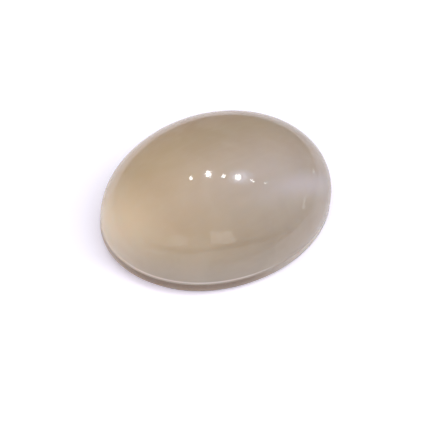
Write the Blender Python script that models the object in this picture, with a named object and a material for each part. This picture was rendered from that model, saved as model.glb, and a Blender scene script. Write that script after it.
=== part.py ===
"""Moonstone cabochon: one oval stone with a high polished dome and a flat ground back.

The stone is cut the way a lapidary cuts it. A round blank is turned to a domed
profile, squeezed to an oval, leant a little, and ground flat underneath. The flat
back is not quite square to the dome, so the wall is deeper at one end.

Units are metres, +Z is up, the long axis is X, and the stone rests on z = 0.
"""

import math

import bmesh
import bpy
from mathutils import Matrix

MM = 0.001

# Driving dimensions, in millimetres and degrees
LENGTH = 15.0
WIDTH = 12.0
DOME_RISE = 4.5
WALL_DEPTH = 0.96
WALL_TAPER = 0.30
LEAN = 3.0
GIRDLE_ROUNDING = 0.16
BACK_EDGE_ROUNDING = 0.10

# How finely the round shapes are divided
DOME_RINGS = 22
SEGMENTS = 96
EDGE_SEGMENTS = 3

# Finish of the stone: milky feldspar with a glassy polish
STONE_COLOUR = (0.465, 0.380, 0.300, 1.0)
STONE_ROUGHNESS = 0.08
STONE_IOR = 1.52
STONE_GLOW_DEPTH = 1.5


def clear_scene():
    """Removes what a new Blender file starts with."""
    for item in list(bpy.data.objects):
        bpy.data.objects.remove(item)


def add_profile(bm):
    """Draws the half outline of the blank in the XZ plane, from the crown down, and returns its geometry."""
    radius = LENGTH / 2
    blank_depth = 2 * WALL_DEPTH
    points = []
    for ring in range(DOME_RINGS + 1):
        angle = math.radians(90) * ring / DOME_RINGS
        points.append((radius * math.sin(angle), DOME_RISE * math.cos(angle)))
    points.append((radius - WALL_TAPER * blank_depth, -blank_depth))
    points.append((0.0, -blank_depth))
    verts = [bm.verts.new((x, 0.0, z)) for x, z in points]
    edges = [bm.edges.new(pair) for pair in zip(verts, verts[1:])]
    return verts + edges


def turn_blank(bm):
    """Spins the half outline once round Z into a closed round blank."""
    bmesh.ops.spin(
        bm,
        geom=add_profile(bm),
        cent=(0, 0, 0),
        axis=(0, 0, 1),
        angle=math.radians(360),
        steps=SEGMENTS,
        use_merge=True,
    )
    bmesh.ops.remove_doubles(bm, verts=bm.verts, dist=0.001)
    bmesh.ops.recalc_face_normals(bm, faces=bm.faces)


def round_over(bm, edges, width):
    """Rounds a loop of edges over by a small width."""
    bmesh.ops.bevel(
        bm,
        geom=edges,
        offset=width,
        offset_type="OFFSET",
        segments=EDGE_SEGMENTS,
        profile=0.5,
        affect="EDGES",
        material=-1,
    )


def girdle_edges(bm):
    """The loop where the dome meets the wall, the widest line of the blank, at z = 0."""
    flat = 0.001
    return [e for e in bm.edges if all(abs(v.co.z) < flat and v.co.xy.length > 1 for v in e.verts)]


def grind_back(bm):
    """Cuts the blank flat underneath, closes the cut with one face and eases its edge."""
    cut = bmesh.ops.bisect_plane(
        bm,
        geom=bm.verts[:] + bm.edges[:] + bm.faces[:],
        plane_co=(0, 0, -WALL_DEPTH),
        plane_no=(0, 0, 1),
        clear_inner=True,
    )
    rim = [item for item in cut["geom_cut"] if isinstance(item, bmesh.types.BMEdge)]
    bmesh.ops.contextual_create(bm, geom=rim)
    round_over(bm, rim, BACK_EDGE_ROUNDING)


def rest_on_floor(bm):
    """Puts the middle of the stone's box over the origin and its back on z = 0."""
    xs = [v.co.x for v in bm.verts]
    ys = [v.co.y for v in bm.verts]
    zs = [v.co.z for v in bm.verts]
    middle = ((min(xs) + max(xs)) / 2, (min(ys) + max(ys)) / 2, min(zs))
    bmesh.ops.translate(bm, vec=[-value for value in middle], verts=bm.verts)


def stone_material():
    """Milky, slightly warm feldspar under a glassy polish."""
    material = bpy.data.materials.new("polished_moonstone")
    material.use_nodes = True
    shader = material.node_tree.nodes["Principled BSDF"]
    shader.inputs["Base Color"].default_value = STONE_COLOUR
    shader.inputs["Roughness"].default_value = STONE_ROUGHNESS
    shader.inputs["Metallic"].default_value = 0.0
    shader.inputs["IOR"].default_value = STONE_IOR
    shader.inputs["Subsurface Weight"].default_value = 1.0
    shader.inputs["Subsurface Scale"].default_value = STONE_GLOW_DEPTH * MM
    return material


def build_stone():
    """Makes the whole cabochon as one object."""
    bm = bmesh.new()
    turn_blank(bm)
    round_over(bm, girdle_edges(bm), GIRDLE_ROUNDING)
    bmesh.ops.scale(bm, vec=(1, WIDTH / LENGTH, 1), verts=bm.verts)
    bmesh.ops.rotate(bm, cent=(0, 0, 0), matrix=Matrix.Rotation(math.radians(LEAN), 3, "Y"), verts=bm.verts)
    grind_back(bm)
    rest_on_floor(bm)
    bmesh.ops.scale(bm, vec=(MM, MM, MM), verts=bm.verts)
    bmesh.ops.recalc_face_normals(bm, faces=bm.faces)
    mesh = bpy.data.meshes.new("moonstone_cabochon")
    bm.to_mesh(mesh)
    bm.free()
    mesh.shade_smooth()
    mesh.set_sharp_from_angle(angle=math.radians(35))
    mesh.materials.append(stone_material())
    stone = bpy.data.objects.new("moonstone_cabochon", mesh)
    bpy.context.scene.collection.objects.link(stone)
    return stone


clear_scene()
build_stone()
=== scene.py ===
# %% [markdown]
# # A moonstone cabochon
#
# The object is one oval stone: milky feldspar, cut with a high dome, polished like glass
# on top and ground flat underneath. Nothing on it moves and nothing is fixed to it.
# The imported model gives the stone's exact place and size, so it is loaded first. The
# new stone is then turned and ground in its place, with a far finer surface.

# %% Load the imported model
import math

import bmesh
import bpy
from mathutils import Matrix, Vector, noise
from mathutils.interpolate import poly_3d_calc


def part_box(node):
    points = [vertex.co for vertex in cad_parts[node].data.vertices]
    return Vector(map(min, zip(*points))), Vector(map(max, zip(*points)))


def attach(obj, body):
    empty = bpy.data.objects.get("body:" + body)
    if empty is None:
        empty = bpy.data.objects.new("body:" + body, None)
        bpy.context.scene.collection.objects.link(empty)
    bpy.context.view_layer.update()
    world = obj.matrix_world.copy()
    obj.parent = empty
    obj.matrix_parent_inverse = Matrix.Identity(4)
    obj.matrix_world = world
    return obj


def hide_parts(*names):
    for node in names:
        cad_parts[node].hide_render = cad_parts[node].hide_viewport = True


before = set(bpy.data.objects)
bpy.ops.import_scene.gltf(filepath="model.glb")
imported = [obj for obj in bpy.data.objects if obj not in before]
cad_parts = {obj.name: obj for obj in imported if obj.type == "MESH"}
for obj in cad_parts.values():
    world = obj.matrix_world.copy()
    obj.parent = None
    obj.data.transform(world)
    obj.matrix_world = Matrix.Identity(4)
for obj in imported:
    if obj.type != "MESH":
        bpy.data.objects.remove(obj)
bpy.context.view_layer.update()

MM = 0.001
low, high = [Vector(corner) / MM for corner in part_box("moonstone_cabochon")]
print("stone in the packed model, mm:", [round(value, 2) for value in high - low])

# %% [markdown]
# ## The sizes of the cut
#
# A cutter works from the oval's length and width, the rise of the dome above the girdle
# and the depth of the wall below it. The girdle is the widest line, where a setting
# grips the stone. This one was ground flat a little out of square, so the girdle leans
# and the wall is deeper at one end than at the other. Below the girdle the wall stands
# almost upright, and then turns in as a bevel; at the shallow end the bevel is ground
# away. The lengths are in millimetres, and the taper and the slope say how far the
# surface comes in for each millimetre down.

# %% Sizes of the cut
LENGTH = 15.0
WIDTH = 12.0
DOME_RISE = 4.5
WALL_DEPTH = 0.96
WALL_HEIGHT = 0.62
WALL_TAPER = 0.03
BEVEL_SLOPE = 0.85
LEAN = math.radians(3.0)
print("girdle", LENGTH, "by", WIDTH, "mm, standing", WALL_DEPTH, "mm above the floor")

# %% [markdown]
# ## The camera
#
# A long lens looks down on the stone from the front left, so its lines hardly converge.
# The camera is set first because the lamps are placed later by mirroring its rays in
# the dome. It is aimed by its view direction, and its own right and up directions
# follow from that. A small roll about the view direction tips the picture clockwise.

# %% Camera
CAMERA_ELEVATION = math.radians(51.2)
CAMERA_AZIMUTH = math.radians(-35.4)
CAMERA_ROLL = math.radians(2.0)
CAMERA_DISTANCE = 247.5
SENSOR_WIDTH = 36.0
FRAME_WIDTH = 26.24
AIM_LEFT_OF_CENTRE = 0.075
AIM_BELOW_CENTRE = 0.74
FRAME_PIXELS = 430


def camera_axes():
    """Gives the camera's right, up and forward directions."""
    level = Matrix.Rotation(CAMERA_AZIMUTH, 3, "Z")
    right = level @ Vector((1, 0, 0))
    forward = level @ Vector((0, math.cos(CAMERA_ELEVATION), -math.sin(CAMERA_ELEVATION)))
    roll = Matrix.Rotation(-CAMERA_ROLL, 3, forward)
    right = roll @ right
    return right, right.cross(forward), forward


def add_camera():
    """Adds the long-lens camera and makes it the scene's own."""
    right, up, forward = camera_axes()
    data = bpy.data.cameras.new("long_lens")
    data.sensor_width = SENSOR_WIDTH
    data.lens = data.sensor_width * CAMERA_DISTANCE / FRAME_WIDTH
    data.clip_start = 0.01
    camera = bpy.data.objects.new("long_lens", data)
    bpy.context.scene.collection.objects.link(camera)
    aim = Vector((0, 0, WALL_DEPTH)) - AIM_LEFT_OF_CENTRE * right - AIM_BELOW_CENTRE * up
    turned = Matrix((right, up, -forward)).transposed().to_4x4()
    camera.matrix_world = Matrix.Translation((aim - CAMERA_DISTANCE * forward) * MM) @ turned
    bpy.context.scene.camera = camera
    return camera


camera = add_camera()
print("lens", round(camera.data.lens), "mm at", CAMERA_DISTANCE, "mm")

# %% [markdown]
# ## Turning the blank
#
# A cutter holds the stone on a stick and rolls it against a wheel, so the dome is a
# surface of turning, and half an ellipse is its outline. The same is done here: the
# half outline is drawn once as a few edges and spun round the upright axis. Many narrow
# steps keep the mirror images in the polish smooth. A little room is left free of points
# beside the girdle, where the edge is eased in the next step.

# %% Turn a round blank
GIRDLE_ROUNDING = 0.16
FREE_OF_POINTS = 1.5 * GIRDLE_ROUNDING
DOME_RINGS = 110
SPIN_STEPS = 288
MERGE_DISTANCE = 0.0005


def draw_outline(bm):
    """Draws the half outline, from the crown over the girdle to the middle of the underside."""
    radius = LENGTH / 2
    blank_depth = 2 * WALL_DEPTH
    points = []
    for ring in range(DOME_RINGS):
        angle = math.radians(90) * ring / DOME_RINGS
        height = DOME_RISE * math.cos(angle)
        if height > FREE_OF_POINTS:
            points.append((radius * math.sin(angle), height))
    wall_foot = radius - WALL_TAPER * WALL_HEIGHT
    points.append((radius, 0.0))
    points.append((wall_foot, -WALL_HEIGHT))
    points.append((wall_foot - BEVEL_SLOPE * (blank_depth - WALL_HEIGHT), -blank_depth))
    points.append((0.0, -blank_depth))
    verts = [bm.verts.new((x, 0, z)) for x, z in points]
    edges = [bm.edges.new(pair) for pair in zip(verts, verts[1:])]
    return verts + edges


def turn_blank():
    """Spins the outline into a closed round blank, with its crown up."""
    bm = bmesh.new()
    bmesh.ops.spin(bm, geom=draw_outline(bm), cent=(0, 0, 0), axis=(0, 0, 1),
                   angle=math.radians(360), steps=SPIN_STEPS, use_merge=True)
    bmesh.ops.remove_doubles(bm, verts=bm.verts, dist=MERGE_DISTANCE)
    bmesh.ops.recalc_face_normals(bm, faces=bm.faces)
    return bm


blank = turn_blank()
print("blank:", len(blank.faces), "faces")

# %% [markdown]
# ## Girdle, oval and flat back
#
# The line where dome and wall meet is eased by the last strokes on the wheel, because a
# sharp edge would chip. A narrow bevel does that while the blank is still round, where
# every edge of the girdle lies at one height, and another eases the foot of the wall.
# The blank is then squeezed to the oval, leant, and cut flat by a plane, as on a lap. The
# new flat face is divided towards its middle, so that it shades as evenly as the rest.

# %% Ease the girdle and grind the back
WALL_FOOT_ROUNDING = 0.06
SAME_HEIGHT = 0.0001
EDGE_SEGMENTS = 4
BACK_RINGS = (0.96, 0.75, 0.60, 0.40)


def round_over(bm, height, width):
    """Rounds the blank's ring of edges at one height over by a small width."""
    ring = [edge for edge in bm.edges if all(abs(v.co.z - height) < SAME_HEIGHT for v in edge.verts)]
    bmesh.ops.bevel(bm, geom=ring, offset=width, offset_type="OFFSET", segments=EDGE_SEGMENTS,
                    profile=0.5, affect="EDGES", material=-1)


def grind_back(bm):
    """Cuts the leaning oval flat, closes the cut with a crisp edge and divides the flat face."""
    cut = bmesh.ops.bisect_plane(bm, geom=bm.verts[:] + bm.edges[:] + bm.faces[:],
                                 plane_co=(0, 0, -WALL_DEPTH), plane_no=(0, 0, 1), clear_inner=True)
    rim = [item for item in cut["geom_cut"] if isinstance(item, bmesh.types.BMEdge)]
    bmesh.ops.contextual_create(bm, geom=rim)
    for edge in rim:
        edge.smooth = False
    flat = min(bm.faces, key=lambda face: face.calc_center_median().z)
    middle = flat.calc_center_median()
    for shrink in BACK_RINGS:
        bmesh.ops.inset_region(bm, faces=[flat], thickness=0.0)
        bmesh.ops.scale(bm, vec=(shrink, shrink, 1), space=Matrix.Translation(-middle), verts=flat.verts)
    bmesh.ops.poke(bm, faces=[flat])


round_over(blank, 0.0, GIRDLE_ROUNDING)
round_over(blank, -WALL_HEIGHT, WALL_FOOT_ROUNDING)
bmesh.ops.scale(blank, vec=(1, WIDTH / LENGTH, 1), verts=blank.verts)
bmesh.ops.rotate(blank, cent=(0, 0, 0), matrix=Matrix.Rotation(LEAN, 3, "Y"), verts=blank.verts)
grind_back(blank)
print("ground stone:", len(blank.faces), "faces")

# %% [markdown]
# ## The hand of the cutter
#
# A dome that is polished by hand on a soft wheel is never a perfect ellipsoid. It has
# broad swells of about a hundredth of a millimetre, far too low to see as shape, but
# they bend the mirror images of the lamps a little. A slow noise moves each point of
# the dome along its normal by that much, and fades out towards the girdle.

# %% Give the dome its slight unevenness
SWELL_HEIGHT = 0.012
SWELL_LENGTH = 4.0


def soften_dome(bm):
    """Moves the dome's points in and out by the small swells that hand polishing leaves."""
    bm.normal_update()
    moves = []
    for vert in bm.verts:
        above_girdle = min(max(vert.co.z / DOME_RISE, 0.0), 1.0)
        swell = noise.noise(vert.co / SWELL_LENGTH) * SWELL_HEIGHT * above_girdle
        moves.append(vert.normal * swell)
    for vert, move in zip(bm.verts, moves):
        vert.co += move


soften_dome(blank)

# %% [markdown]
# ## Putting the stone in its place
#
# Millimetres become metres, and the middle of the stone's box goes where the packed
# model has it. The place is kept in the mesh, with the object itself at the origin. The
# dome takes the first material, polished, and everything below the girdle takes the
# second, ground.

# %% Place the stone
POLISHED, GROUND = 0, 1


def share_finishes(bm):
    """Gives the wall and the back the ground finish, and the dome the polished one."""
    lean = Matrix.Rotation(LEAN, 3, "Y").inverted()
    for face in bm.faces:
        height = (lean @ face.calc_center_median()).z
        face.material_index = POLISHED if height > -GIRDLE_ROUNDING / 2 else GROUND


def place_stone(bm):
    """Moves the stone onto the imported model's place, and gives the object and its girdle's middle."""
    corners = [[pick(v.co[axis] for v in bm.verts) for axis in range(3)] for pick in (min, max)]
    middle = [(a + b) / 2 for a, b in zip(*corners)]
    goal = (low + high) / 2
    girdle_centre = Vector((goal.x - middle[0], goal.y - middle[1], low.z - corners[0][2]))
    bmesh.ops.translate(bm, vec=girdle_centre, verts=bm.verts)
    bmesh.ops.scale(bm, vec=(MM, MM, MM), verts=bm.verts)
    bmesh.ops.recalc_face_normals(bm, faces=bm.faces)
    mesh = bpy.data.meshes.new("cut_stone")
    bm.to_mesh(mesh)
    bm.free()
    mesh.shade_smooth()
    stone = bpy.data.objects.new("cut_stone", mesh)
    bpy.context.scene.collection.objects.link(stone)
    return stone, girdle_centre


share_finishes(blank)
stone, girdle_centre = place_stone(blank)
print("stone:", len(stone.data.polygons), "faces")

# %% [markdown]
# ## Two helpers for materials
#
# Colours are written as the sRGB hex values that one would read off a swatch, and one
# function turns them into the linear values that a shader reckons with. Another adds a
# node with its settings, its fixed values and its links in one call.

# %% Material helpers


def linear(swatch):
    """Turns an sRGB hex colour into linear red, green, blue and alpha."""
    parts = [int(swatch[i:i + 2], 16) / 255 for i in (1, 3, 5)]
    return [c / 12.92 if c <= 0.04045 else ((c + 0.055) / 1.055) ** 2.4 for c in parts] + [1.0]


def add_node(tree, kind, settings=(), values=(), links=()):
    """Adds a node, with its settings, the values of its inputs and what is linked to them."""
    node = tree.nodes.new(kind)
    for name, value in dict(settings).items():
        setattr(node, name, value)
    for name, value in dict(values).items():
        node.inputs[name].default_value = value
    for name, source in dict(links).items():
        tree.links.new(source, node.inputs[name])
    return node


def ramp_stops(ramp, stops):
    """Sets a colour ramp's stops, each a position and a hex colour."""
    elements = ramp.color_ramp.elements
    while len(elements) < len(stops):
        elements.new(1.0)
    for element, (position, swatch) in zip(elements, stops):
        element.position = position
        element.color = linear(swatch)


# %% [markdown]
# ## The milky body
#
# Moonstone is feldspar that has parted into thin layers of two kinds. They scatter
# light, so the stone looks like milk with a little honey in it. The layers throw back a
# broad pale band, which runs nearly along the stone and moves over it as the stone is
# turned; here it is painted in, fixed where the picture has it. All of this is built
# from the stone's own coordinates, in millimetres: one ramp across the band, the stone's
# own tone with a painted sheen in its pale middle and painted shade towards the browner
# far side and the greyer near side; honey towards the left end, partly the stone's own
# tint and partly a painted glow, and smoke towards the other; a painted glow where light
# gathers in the thin left end; painted shade, grey, low on the near flank, where little
# light gets through; and a cool streak, a painted sheen, which is the sheen that the
# stone is named for.

# %% Body colour
BAND_TURN = math.radians(-7.3)
BAND_NEAR, BAND_FAR = -6.0, 4.0
# The ramp's stops: the stone's own tone, with a painted sheen in the pale middle and painted shade at the
# browner far end and the greyer near end.
TONE_SHEEN_AND_SHADE_STOPS = ((0.0, "#A2917E"), (0.2, "#B1A497"), (0.4, "#B8ABA2"),
              (0.6, "#B1A08F"), (0.8, "#A7947A"), (1.0, "#A18566"))
# Each fade gives where a tint starts, where it is full, and how strong it is there. These
# are places in mm, or values of the noise for the clouds, the silk and the scratches.
# Honey towards the left end: partly the stone's own tint, partly a painted glow.
HONEY_AND_GLOW = "#CEB590"
HONEY_AND_GLOW_FADE = (3.0, -7.5, 0.77)
SMOKE = "#92806C"
SMOKE_FADE = (3.0, 6.5, 0.44)
GLOW = "#FFEBCD"
GLOW_PLACE = (-8.15, 0.19, 1.16)
GLOW_FADE = (5.61, 0.0, 1.0)
NEAR_FLANK = (-0.58, -0.815, 0)
RIGHT_FLANK = (0.815, -0.58, 0)
# Painted shade: grey, low on the near flank, where little light gets through.
FLANK_SHADE = "#AEA497"
FLANK_SHADE_FADE = (1.09, 6.61, 0.76)
FLANK_SHADE_HEIGHT_FADE = (3.31, 0.3, 1.0)
# A painted sheen: the cool streak along the right part of the dome.
PAINTED_SHEEN = "#EAE8FF"
PAINTED_SHEEN_PLACE = -3.43
PAINTED_SHEEN_WIDTH_FADE = (1.0, 0.0, 1.0)
PAINTED_SHEEN_LENGTH_FADE = (-0.8, 4.8, 0.24)
PAINTED_SHEEN_HEIGHT_FADE = (0.8, 2.5, 1.0)
MILK = "#E9DFD2"
CLOUD_SIZE = 3.0
CLOUD_FADE = (0.4, 0.7, 0.08)
SILK_SIZE = 0.35
SILK_STRETCH = 12.0
SILK_FADE = (0.4, 0.8, 0.025)


def mix_colours(tree, factor, first, second):
    """Mixes a second colour into a first one by a factor; a colour is an output or a hex value."""
    node = add_node(tree, "ShaderNodeMix", {"data_type": "RGBA"})
    tree.links.new(factor, node.inputs[0])
    for socket, colour in ((6, first), (7, second)):
        if isinstance(colour, str):
            node.inputs[socket].default_value = linear(colour)
        else:
            tree.links.new(colour, node.inputs[socket])
    return node.outputs[2]


def fade(tree, source, start, end, top):
    """Changes smoothly from 0 at start to top at end."""
    lowest, highest = sorted((start, end))
    values = (0.0, top) if start < end else (top, 0.0)
    node = add_node(tree, "ShaderNodeMapRange", {"interpolation_type": "SMOOTHSTEP"},
                    {"From Min": lowest, "From Max": highest, "To Min": values[0], "To Max": values[1]},
                    {"Value": source})
    return node.outputs["Result"]


def place_in_mm(tree, stretch=(1, 1, 1)):
    """The stone's own coordinates in millimetres, with each axis divided by a stretch."""
    objects = add_node(tree, "ShaderNodeTexCoord")
    scale = [1 / MM / amount for amount in stretch]
    node = add_node(tree, "ShaderNodeMapping", {}, {"Scale": scale}, {"Vector": objects.outputs["Object"]})
    return node.outputs["Vector"]


def along(tree, place, direction, origin=(0, 0, 0)):
    """How far a place lies along a direction from an origin, in millimetres."""
    offset = add_node(tree, "ShaderNodeVectorMath", {"operation": "SUBTRACT"}, {1: origin}, {0: place})
    node = add_node(tree, "ShaderNodeVectorMath", {"operation": "DOT_PRODUCT"}, {1: direction},
                    {0: offset.outputs["Vector"]})
    return node.outputs["Value"]


def away_from(tree, value, middle):
    """How far a value lies from a middle one, on either side."""
    beside = add_node(tree, "ShaderNodeMath", {"operation": "SUBTRACT"}, {1: middle}, {0: value})
    node = add_node(tree, "ShaderNodeMath", {"operation": "ABSOLUTE"}, {}, {0: beside.outputs["Value"]})
    return node.outputs["Value"]


def product(tree, first, second):
    """Multiplies two values."""
    node = add_node(tree, "ShaderNodeMath", {"operation": "MULTIPLY"}, {}, {0: first, 1: second})
    return node.outputs["Value"]


def height_above_girdle(tree, place):
    """How high a place lies above the girdle's own leaning plane, in millimetres."""
    return along(tree, place, (math.sin(LEAN), 0, math.cos(LEAN)), girdle_centre)


def tone_sheen_and_shade_band(tree, place):
    """The broad pale band: the stone's own tone, with a painted sheen in its middle and painted shade
    towards the near and far sides.
    """
    across = along(tree, place, (-math.sin(BAND_TURN), math.cos(BAND_TURN), 0))
    share = add_node(tree, "ShaderNodeMapRange", {}, {"From Min": BAND_NEAR, "From Max": BAND_FAR},
                     {"Value": across})
    band = add_node(tree, "ShaderNodeValToRGB", {}, {}, {"Fac": share.outputs["Result"]})
    ramp_stops(band, TONE_SHEEN_AND_SHADE_STOPS)
    return band.outputs["Color"]


def painted_sheen_strength(tree, place):
    """How strong the painted sheen streak is: it starts past the middle and ends above the girdle."""
    beside = away_from(tree, along(tree, place, (0, 1, 0)), PAINTED_SHEEN_PLACE)
    start = fade(tree, along(tree, place, (1, 0, 0)), *PAINTED_SHEEN_LENGTH_FADE)
    above = fade(tree, height_above_girdle(tree, place), *PAINTED_SHEEN_HEIGHT_FADE)
    return product(tree, fade(tree, beside, *PAINTED_SHEEN_WIDTH_FADE), product(tree, start, above))


def body_colour_and_painted_light(tree):
    """Builds the milky body colour, with its painted sheen, shade and glow, and returns its output."""
    place = place_in_mm(tree)
    lengthwise = along(tree, place, (math.cos(BAND_TURN), math.sin(BAND_TURN), 0))
    colour = tone_sheen_and_shade_band(tree, place)
    # Honey, partly a painted glow, towards the left end.
    colour = mix_colours(tree, fade(tree, lengthwise, *HONEY_AND_GLOW_FADE), colour, HONEY_AND_GLOW)
    colour = mix_colours(tree, fade(tree, lengthwise, *SMOKE_FADE), colour, SMOKE)

    gap = add_node(tree, "ShaderNodeVectorMath", {"operation": "DISTANCE"}, {1: GLOW_PLACE}, {0: place})
    colour = mix_colours(tree, fade(tree, gap.outputs["Value"], *GLOW_FADE), colour, GLOW)

    # Painted shade, grey, low on the near flank.
    low_down = fade(tree, height_above_girdle(tree, place), *FLANK_SHADE_HEIGHT_FADE)
    near_side = fade(tree, along(tree, place, NEAR_FLANK), *FLANK_SHADE_FADE)
    colour = mix_colours(tree, product(tree, low_down, near_side), colour, FLANK_SHADE)
    # A painted sheen: the cool streak.
    colour = mix_colours(tree, painted_sheen_strength(tree, place), colour, PAINTED_SHEEN)

    clouds = add_node(tree, "ShaderNodeTexNoise", {},
                      {"Scale": 1 / CLOUD_SIZE, "Detail": 3.0, "Distortion": 0.5}, {"Vector": place})
    colour = mix_colours(tree, fade(tree, clouds.outputs["Fac"], *CLOUD_FADE), colour, MILK)
    silk = add_node(tree, "ShaderNodeTexNoise", {}, {"Scale": 1 / SILK_SIZE, "Detail": 2.0},
                    {"Vector": place_in_mm(tree, (SILK_STRETCH, 1, 1))})
    return mix_colours(tree, fade(tree, silk.outputs["Fac"], *SILK_FADE), colour, MILK)


# %% [markdown]
# ## The girdle line
#
# Right at the girdle, polish and grinding meet in a hair of fine rounding. A thin pale
# line is painted along it as a highlight, clearest in front and weaker towards the right
# end. Its colour is laid on by the height above the girdle's own leaning plane.

# %% Girdle line
# A painted highlight: the pale line along the girdle.
GIRDLE_HIGHLIGHT = "#F6EAE4"
GIRDLE_LINE_HEIGHT = 0.09
GIRDLE_LINE_WIDTH_FADE = (0.09, 0.03, 1.0)
GIRDLE_LINE_LEFT_FADE = (6.5, 1.0, 0.5)
GIRDLE_LINE_NEAR_FADE = (3.8, 6.0, 1.0)


def with_painted_girdle_highlight(tree, colour):
    """Lays the painted highlight line along the girdle over a colour."""
    place = place_in_mm(tree)
    gap = away_from(tree, height_above_girdle(tree, place), GIRDLE_LINE_HEIGHT)
    leftward = fade(tree, along(tree, place, RIGHT_FLANK), *GIRDLE_LINE_LEFT_FADE)
    nearward = fade(tree, along(tree, place, NEAR_FLANK), *GIRDLE_LINE_NEAR_FADE)
    line = product(tree, fade(tree, gap, *GIRDLE_LINE_WIDTH_FADE), product(tree, leftward, nearward))
    return mix_colours(tree, line, colour, GIRDLE_HIGHLIGHT)


# %% [markdown]
# ## Polished dome
#
# The dome was polished with fine oxide on felt until it shone like glass. Light that
# gets past the polish wanders a millimetre or two through the milk before it comes out,
# which is what subsurface scattering reckons. The clear coat is the polish: feldspar
# bends light by 1.52, and its roughness is very low. The layer under it is far rougher
# and stretched along the stone, and gives the broad silky sheen below the sharp images
# of the lamps.

# %% Polished dome
FELDSPAR_IOR = 1.52
POLISH_ROUGHNESS = 0.04
SHEEN_ROUGHNESS = 0.58
SHEEN_STRENGTH = 0.15
SHEEN_STRETCH = 0.7
SHEEN_GLOSS = 0.25
SHEEN_TURN = math.radians(-12)
SCATTER_DEPTH = 1.6
SCATTER_SPREAD = (1.0, 0.72, 0.5)


def new_material(name):
    """Makes a node material and returns it with its tree and its one shader."""
    material = bpy.data.materials.new(name)
    material.use_nodes = True
    tree = material.node_tree
    return material, tree, tree.nodes["Principled BSDF"]


def make_milky(tree, shader, colour):
    """Gives a shader a colour with the painted girdle highlight, and the light that wanders inside the
    stone.
    """
    tree.links.new(with_painted_girdle_highlight(tree, colour), shader.inputs["Base Color"])
    shader.inputs["IOR"].default_value = FELDSPAR_IOR
    shader.inputs["Subsurface Weight"].default_value = 1.0
    shader.inputs["Subsurface Radius"].default_value = SCATTER_SPREAD
    shader.inputs["Subsurface Scale"].default_value = SCATTER_DEPTH * MM


def polished_feldspar():
    """Milky feldspar under a glassy polish."""
    material, tree, shader = new_material("polished_feldspar")
    make_milky(tree, shader, body_colour_and_painted_light(tree))
    shader.inputs["Roughness"].default_value = SHEEN_ROUGHNESS
    shader.inputs["Metallic"].default_value = SHEEN_STRENGTH
    shader.inputs["Anisotropic"].default_value = SHEEN_STRETCH
    shader.inputs["Specular IOR Level"].default_value = SHEEN_GLOSS
    shader.inputs["Coat Weight"].default_value = 1.0
    shader.inputs["Coat Roughness"].default_value = POLISH_ROUGHNESS
    shader.inputs["Coat IOR"].default_value = FELDSPAR_IOR
    along_sheen = add_node(tree, "ShaderNodeCombineXYZ", {},
                           {"X": math.cos(SHEEN_TURN), "Y": math.sin(SHEEN_TURN)})
    tree.links.new(along_sheen.outputs["Vector"], shader.inputs["Tangent"])
    return material


# %% [markdown]
# ## Ground back
#
# The wall and the flat back were only ground, on a fine wheel, and never polished. The
# same milk shows through a slightly greyer skin, matt from the grinding. Painted shade
# darkens that skin most just below the girdle and less towards the floor, and fades out
# towards the right end. A painted glow makes the two ends paler, where the stone is thin
# and light comes through it. The grit leaves short scratches along the stone. The real
# ones are about a hundredth of a millimetre wide; they are drawn eight times coarser, so
# that they show.

# %% Ground back
# The ground skin's greyer colour with painted shade, darkest just below the girdle and lighter towards the
# floor.
FROST_AND_SHADE_HIGH = "#8B7767"
FROST_AND_SHADE_LOW = "#AD998A"
FROST_SHADE_DEPTH_FADE = (-0.2, -0.8, 1.0)
FROST_SHADE_LEFT_FADE = (7.0, 1.5, 1.0)
FROST_ROUGHNESS = 0.42
SCRATCH_WIDTH = 0.08
SCRATCH_STRETCH = 7.0
SCRATCH_FADE = (-0.5, 0.65, 0.9)
SCRATCH_DEPTH = 0.01
SCRATCH_STRENGTH = 0.5
# A painted glow at the two thin ends.
END_GLOW = "#E2D8CF"
RIGHT_END_FADE = (1.5, 6.5, 0.58)
LEFT_END_FADE = (-4.0, -8.0, 0.5)


def ground_feldspar():
    """The same feldspar with a finely ground skin, painted shade on the wall and a painted glow at its ends.
    """
    material, tree, shader = new_material("ground_feldspar")
    place = place_in_mm(tree)
    rightward = along(tree, place, RIGHT_FLANK)
    scratches = add_node(tree, "ShaderNodeTexNoise", {}, {"Scale": 1 / SCRATCH_WIDTH, "Detail": 3.0},
                         {"Vector": place_in_mm(tree, (SCRATCH_STRETCH, 1, 1))})
    # Painted shade on the ground skin: darkest below the girdle, fading towards the floor and the right end.
    depth = fade(tree, height_above_girdle(tree, place), *FROST_SHADE_DEPTH_FADE)
    frost_and_shade = mix_colours(tree, depth, FROST_AND_SHADE_HIGH, FROST_AND_SHADE_LOW)
    frost_and_shade_share = product(tree, fade(tree, scratches.outputs["Fac"], *SCRATCH_FADE),
                      fade(tree, rightward, *FROST_SHADE_LEFT_FADE))
    colour = mix_colours(tree, frost_and_shade_share, body_colour_and_painted_light(tree), frost_and_shade)
    # A painted glow at both ends.
    for end_fade in (RIGHT_END_FADE, LEFT_END_FADE):
        colour = mix_colours(tree, fade(tree, rightward, *end_fade), colour, END_GLOW)
    make_milky(tree, shader, colour)
    bump = add_node(tree, "ShaderNodeBump", {},
                    {"Strength": SCRATCH_STRENGTH, "Distance": SCRATCH_DEPTH * MM},
                    {"Height": scratches.outputs["Fac"]})
    tree.links.new(bump.outputs["Normal"], shader.inputs["Normal"])
    shader.inputs["Roughness"].default_value = FROST_ROUGHNESS
    return material


stone.data.materials.append(polished_feldspar())
stone.data.materials.append(ground_feldspar())
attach(stone, "root")
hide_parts("moonstone_cabochon")

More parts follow.
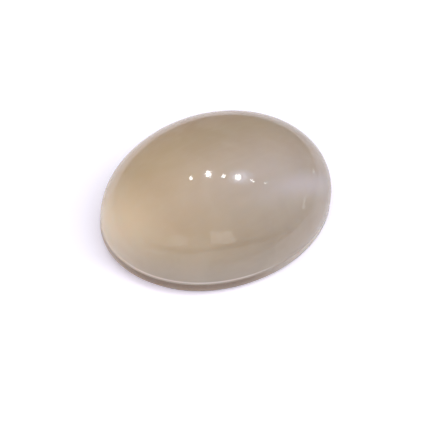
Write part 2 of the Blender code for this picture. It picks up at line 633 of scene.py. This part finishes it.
# %% [markdown]
# ## The floor
#
# The stone rests on a plain white card, and the card lies on a grey table. The card ends
# a little way behind the stone and to its right, out of the picture. That edge is why the
# polish has a pale rim, where it mirrors the near card, and is darker inside the rim,
# where it mirrors the table and the room. The picture is exposed so brightly that the card
# burns out to white and the stone's shadow on it is thin. A little glow does that here,
# for the camera alone, and more of it in front, where there is hardly any shadow.

# %% Floor
TABLE_SIZE = 1500.0
CARD_THICKNESS = 0.3
CARD_REACH = 400.0
CARD_BEHIND = 21.0
CARD_RIGHT = 24.0
CARD_WHITE = "#EBEAF3"
TABLE_GREY = "#9B9A9A"
CARD_GLOW = 0.24
CARD_GLOW_COLOUR = "#F4EEFF"
FRONT_GLOW_FADE = (-3.5, -7.0, 0.28)


def glow_for_camera(tree, shader):
    """Lets a floor glow a little to the camera alone, more in front of the stone than behind it."""
    behind = Matrix.Rotation(CAMERA_AZIMUTH, 3, "Z") @ Vector((0, 1, 0))
    distance = along(tree, place_in_mm(tree), behind)
    front = fade(tree, distance, *FRONT_GLOW_FADE)
    glow = add_node(tree, "ShaderNodeMath", {"operation": "ADD"}, {1: CARD_GLOW}, {0: front})
    seen = add_node(tree, "ShaderNodeLightPath")
    shader.inputs["Emission Color"].default_value = linear(CARD_GLOW_COLOUR)
    strength = product(tree, glow.outputs["Value"], seen.outputs["Is Camera Ray"])
    tree.links.new(strength, shader.inputs["Emission Strength"])


def lay_sheet(name, swatch, left, right, front, behind, top, glows=False):
    """Lays a flat matt sheet, its edges counted from the stone along the camera's level directions."""
    material, tree, shader = new_material(name)
    shader.inputs["Base Color"].default_value = linear(swatch)
    shader.inputs["Roughness"].default_value = 1.0
    shader.inputs["Specular IOR Level"].default_value = 0.0
    if glows:
        glow_for_camera(tree, shader)
    turn = Matrix.Rotation(CAMERA_AZIMUTH, 4, "Z")
    corners = [(left, front), (right, front), (right, behind), (left, behind)]
    bm = bmesh.new()
    bm.faces.new([bm.verts.new(turn @ Vector((x, y, top)) * MM) for x, y in corners])
    mesh = bpy.data.meshes.new(name)
    bm.to_mesh(mesh)
    bm.free()
    mesh.materials.append(material)
    sheet = bpy.data.objects.new(name, mesh)
    bpy.context.scene.collection.objects.link(sheet)
    return sheet


half_table = TABLE_SIZE / 2
lay_sheet("grey_table", TABLE_GREY, -half_table, half_table, -half_table, half_table, -CARD_THICKNESS)
lay_sheet("white_card", CARD_WHITE, -CARD_REACH, CARD_RIGHT, -CARD_REACH, CARD_BEHIND, 0, glows=True)

# %% [markdown]
# ## Lamps and windows, placed by their mirror images
#
# The dome works as a convex mirror, so each bright patch on it fixes where a lamp or a
# window stands: a camera ray goes through each point of the patch's outline, meets the
# stone, is mirrored there and followed outward. The ends of those rays are joined into
# one glowing sheet. There are six small lamps in a row, two of them in front of a soft
# haze, two pale windows and three thin streaks. Under the windows runs a dark sill, given
# by its middle line, and below it a white board stands in front of the stone and lightens
# the lower part of the dome. All of these show in the polish only, and the soft lights
# below do the lighting.

# %% Lamps and windows seen in the polish
LAMP_DISTANCE = 250.0
HAZE_DISTANCES = (255.0, 260.0, 265.0)
SILL_DISTANCE = 270.0
OUTLINE_POINTS = 20
BOARD_DISTANCE = 300.0
BOARD_LEFT, BOARD_RIGHT = -420.0, 420.0
BOARD_HEIGHT = 140.0
BOARD_RADIANCE = 0.75


def mirrored_ray(u, v):
    """Follows the camera's ray through a picture point to the stone and mirrors it there."""
    pixel = FRAME_WIDTH / FRAME_PIXELS
    right, up, forward = camera_axes()
    half = (FRAME_PIXELS - 1) / 2
    start = camera.matrix_world.translation
    ray = (forward * CAMERA_DISTANCE + right * (u - half) * pixel + up * (half - v) * pixel).normalized()
    _, place, _, index = stone.ray_cast(start, ray)
    face = stone.data.polygons[index]
    corners = [stone.data.vertices[i] for i in face.vertices]
    weights = poly_3d_calc([corner.co for corner in corners], place)
    normal = sum((corner.normal * weight for corner, weight in zip(corners, weights)), Vector()).normalized()
    return place, ray.reflect(normal)


def add_glowing_sheet(name, panes, radiance, colour="#FFFFFF"):
    """Adds a glowing sheet of panes, each given by its corners, that shows in mirror images only."""
    bm = bmesh.new()
    for pane in panes:
        bm.faces.new([bm.verts.new(point) for point in pane])
    mesh = bpy.data.meshes.new(name)
    bm.to_mesh(mesh)
    bm.free()
    material, _, shader = new_material(name)
    shader.inputs["Base Color"].default_value = (0, 0, 0, 1)
    shader.inputs["Specular IOR Level"].default_value = 0.0
    shader.inputs["Emission Color"].default_value = linear(colour)
    shader.inputs["Emission Strength"].default_value = radiance
    mesh.materials.append(material)
    sheet = bpy.data.objects.new(name, mesh)
    bpy.context.scene.collection.objects.link(sheet)
    sheet.visible_camera = False
    sheet.visible_diffuse = False
    sheet.visible_shadow = False
    return sheet


def box_outline(left, top, right, bottom):
    """The corners of an upright box in the picture."""
    return [(left, top), (right, top), (right, bottom), (left, bottom)]


def round_outline(left, top, right, bottom):
    """Points round the oval that fills a box in the picture."""
    turns = [math.tau * step / OUTLINE_POINTS for step in range(OUTLINE_POINTS)]
    u, v = (left + right) / 2, (top + bottom) / 2
    half_width, half_height = (right - left) / 2, (bottom - top) / 2
    return [(u + half_width * math.cos(turn), v + half_height * math.sin(turn)) for turn in turns]


# Each has a name, its outline in the picture in pixels, and its radiance.
LAMPS_AND_WINDOWS = (
    ("lamp_1", round_outline(188.2, 175.2, 192.2, 179.8), 16),
    ("lamp_2", round_outline(204.8, 170.2, 211.0, 176.8), 19),
    ("lamp_3", round_outline(221.0, 173.6, 225.6, 177.4), 16),
    ("lamp_4", round_outline(234.6, 173.6, 240.4, 179.4), 19),
    ("lamp_5", [(249.8, 179.3), (251.2, 179.0), (254.4, 181.6), (253.2, 182.2)], 18),
    ("lamp_6", round_outline(262.8, 182.0, 266.6, 183.0), 14),
    ("left_window", [(165.5, 244.5), (170, 238), (174, 234.5), (181, 233.5), (187, 236), (189, 240),
                     (186, 244), (178, 245.5), (169, 246.5)], 1.1),
    ("right_window", [(210, 230.6), (231, 230.6), (232.5, 236), (237, 239), (231, 243), (210, 243.2)], 1.65),
    ("right_streak", [(303.6, 196), (305.0, 196), (303.6, 208.5), (301.2, 208.5)], 2.4),
    ("low_streak", box_outline(268.9, 219, 270.6, 224), 1.9),
    ("far_streak", [(312.2, 165), (313.8, 165), (315.0, 173), (312.8, 174)], 3.4),
)
HAZES = (
    ("lamp_2_haze", round_outline(201.5, 167.5, 214.0, 179.5), 1.8),
    ("lamp_4_glow", round_outline(231.5, 171.5, 246.5, 182.0), 5.0),
    ("lamp_4_haze", round_outline(227.5, 168.5, 254.0, 185.0), 2.2),
)
HAZE_BLUE = "#D9E4FF"
SILL_LINE = ((142, 239), (150, 243), (158, 246), (166, 248), (174, 249.5), (182, 251), (190, 251),
             (198, 250), (214, 248), (230, 246), (246, 243), (254, 240.5), (262, 238), (270, 235.5),
             (278, 232), (288, 227))
SILL_HALF_HEIGHT = 2.4


def pane_from_image(outline, distance):
    """The corners of the pane whose mirror image fills an outline in the picture."""
    rays = [mirrored_ray(u, v) for u, v in outline]
    return [place + direction * distance * MM for place, direction in rays]


def sill_outlines():
    """The outlines of the sill's pieces, side by side along its middle line."""
    for (left, left_middle), (right, right_middle) in zip(SILL_LINE, SILL_LINE[1:]):
        above = [(left, left_middle - SILL_HALF_HEIGHT), (right, right_middle - SILL_HALF_HEIGHT)]
        below = [(right, right_middle + SILL_HALF_HEIGHT), (left, left_middle + SILL_HALF_HEIGHT)]
        yield above + below


def add_front_board():
    """Stands the low white board in front of the stone, square to the camera's view."""
    turn = Matrix.Rotation(CAMERA_AZIMUTH, 3, "Z")
    edges = [(BOARD_LEFT, 0), (BOARD_RIGHT, 0), (BOARD_RIGHT, BOARD_HEIGHT), (BOARD_LEFT, BOARD_HEIGHT)]
    points = [turn @ Vector((x, -BOARD_DISTANCE, z)) * MM for x, z in edges]
    add_glowing_sheet("front_board", [points], BOARD_RADIANCE)


bpy.context.view_layer.update()
for name, outline, radiance in LAMPS_AND_WINDOWS:
    add_glowing_sheet(name, [pane_from_image(outline, LAMP_DISTANCE)], radiance)
for (name, outline, radiance), distance in zip(HAZES, HAZE_DISTANCES):
    add_glowing_sheet(name, [pane_from_image(outline, distance)], radiance, HAZE_BLUE)
add_glowing_sheet("sill", [pane_from_image(outline, SILL_DISTANCE) for outline in sill_outlines()], 0.0)
add_front_board()
print(len(LAMPS_AND_WINDOWS) + len(HAZES), "lamps, windows and hazes, a sill and a board")

# %% [markdown]
# ## Soft light
#
# The lighting itself is plain and soft: a large panel overhead, a little towards the
# camera, a smaller and brighter one on the right and a weak warm one low on the left. They
# light the stone and the card but leave no image in the polish. The room beyond is a mid
# grey, which is what the upper part of the dome mirrors.

# %% Soft panels and the room
# Each has a name, azimuth and elevation in degrees, distance and size in mm, radiance and colour.
PANELS = (
    ("key_panel", 95, 46, 400, 260, 2.6, "#FFFFFF"),
    ("overhead_panel", 180, 82, 400, 420, 1.75, "#FFFFFF"),
    ("warm_panel", -95, 22, 400, 200, 0.8, "#FFD9A8"),
)
ROOM_GREY = "#AEADAF"


def add_panel(name, azimuth, elevation, distance, size, radiance, colour):
    """Adds a soft panel, its azimuth counted clockwise from straight behind the stone in the picture."""
    turn = Matrix.Rotation(CAMERA_AZIMUTH - math.radians(azimuth), 3, "Z")
    rise = math.radians(elevation)
    direction = turn @ Vector((0, math.cos(rise), math.sin(rise)))
    data = bpy.data.lights.new(name, "AREA")
    data.size = size * MM
    data.energy = radiance * math.pi * data.size ** 2
    data.color = linear(colour)[:3]
    panel = bpy.data.objects.new(name, data)
    axes = direction.to_track_quat("Z", "Y").to_matrix().to_4x4()
    panel.matrix_world = Matrix.Translation(direction * distance * MM) @ axes
    panel.visible_camera = False
    panel.visible_glossy = False
    bpy.context.scene.collection.objects.link(panel)
    return panel


def grey_room():
    """An even grey room."""
    world = bpy.data.worlds.new("grey_room")
    world.use_nodes = True
    world.node_tree.nodes["Background"].inputs["Color"].default_value = linear(ROOM_GREY)
    return world


for panel in PANELS:
    add_panel(*panel)
bpy.context.scene.world = grey_room()
bpy.context.scene.view_settings.view_transform = "Standard"
print(len(PANELS), "soft panels in a grey room")
